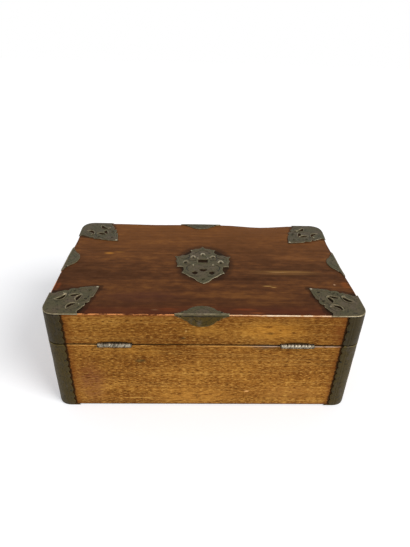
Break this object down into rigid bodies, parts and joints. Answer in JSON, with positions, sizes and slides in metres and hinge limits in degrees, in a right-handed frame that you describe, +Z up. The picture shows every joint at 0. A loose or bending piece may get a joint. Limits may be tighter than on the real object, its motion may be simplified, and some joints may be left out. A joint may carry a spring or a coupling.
{
  "type": "money changer box",
  "caption": "Wooden money box with a hinged lid, metal corner straps, pierced lid fittings, a box lock and a sliding coin till.",
  "frame": {"origin": "middle of the underside, on the plane of the four soles", "axes": "+X to the right as seen from the lock side, -Y towards the lock side, +Y towards the hinges, +Z up"},
  "size_m": [0.3008, 0.1944, 0.119],
  "materials": {
    "case_wood": "old shellac on golden brown hardwood, worn and stained",
    "lid_veneer": "dark red-brown polished sheet with lighter streaks",
    "inner_wood": "plain unpolished softwood",
    "till_wood": "thin plain hardwood, waxed",
    "aged_metal": "dark olive patina with paler worn edges",
    "nail_metal": "dark patina",
    "hinge_metal": "worn bright steel, grey in the joints",
    "screw_metal": "dull steel",
    "lock_metal": "dull brass"
  },
  "bodies": {
    "base": {"base_front_board": "case_wood", "base_back_board": "case_wood", "base_left_board": "case_wood", "base_right_board": "case_wood", "base_bottom_board": "inner_wood", "base_nails": "nail_metal", "hinge_pin_left": "hinge_metal", "hinge_pin_right": "hinge_metal", "hinge_base_leaf_left": "hinge_metal", "hinge_base_leaf_right": "hinge_metal", "hinge_base_screws": "screw_metal", "lock_case": "lock_metal", "lock_cap": "lock_metal", "lock_key_pin": "lock_metal", "lock_spring": "lock_metal", "lock_screws": "screw_metal", "keyhole_lining": "lock_metal", "till_runner_front": "till_wood", "till_runner_back": "till_wood", "base_corner_strap_front_left": "aged_metal", "base_corner_strap_front_right": "aged_metal", "base_corner_strap_back_left": "aged_metal", "base_corner_strap_back_right": "aged_metal"},
    "lid": {"lid_front_rail": "case_wood", "lid_back_rail": "case_wood", "lid_left_rail": "case_wood", "lid_right_rail": "case_wood", "lid_top_board": "inner_wood", "lid_veneer": "lid_veneer", "lid_centre_plate": "aged_metal", "lid_nails": "nail_metal", "hinge_lid_leaf_left": "hinge_metal", "hinge_lid_leaf_right": "hinge_metal", "hinge_lid_screws": "screw_metal", "link_plate": "lock_metal", "link_tabs": "lock_metal", "link_screws": "screw_metal", "lid_corner_strap_front_left": "aged_metal", "lid_corner_plate_front_left": "aged_metal", "lid_corner_strap_front_right": "aged_metal", "lid_corner_plate_front_right": "aged_metal", "lid_corner_strap_back_left": "aged_metal", "lid_corner_plate_back_left": "aged_metal", "lid_corner_strap_back_right": "aged_metal", "lid_corner_plate_back_right": "aged_metal", "lid_edge_mount_front": "aged_metal", "lid_edge_mount_back": "aged_metal", "lid_edge_mount_left": "aged_metal", "lid_edge_mount_right": "aged_metal"},
    "bolt": {"lock_bolt": "lock_metal"},
    "till": {"till_front_board": "till_wood", "till_back_board": "till_wood", "till_left_board": "till_wood", "till_right_board": "till_wood", "till_bottom_board": "till_wood", "till_long_divider": "till_wood", "till_cross_dividers": "till_wood", "till_coves": "till_wood"}
  },
  "joints": [
    {"name": "lid_hinge", "type": "hinge", "parent": "base", "child": "lid", "pos_m": [0, 0.09605, 0.08175], "axis": [-1, 0, 0], "range_deg": [0, 180]},
    {"name": "bolt_slide", "type": "slide", "parent": "base", "child": "bolt", "axis": [1, 0, 0], "range_m": [0, 0.0045]},
    {"name": "till_slide", "type": "slide", "parent": "base", "child": "till", "axis": [1, 0, 0], "range_m": [0, 0.1152]}
  ]
}
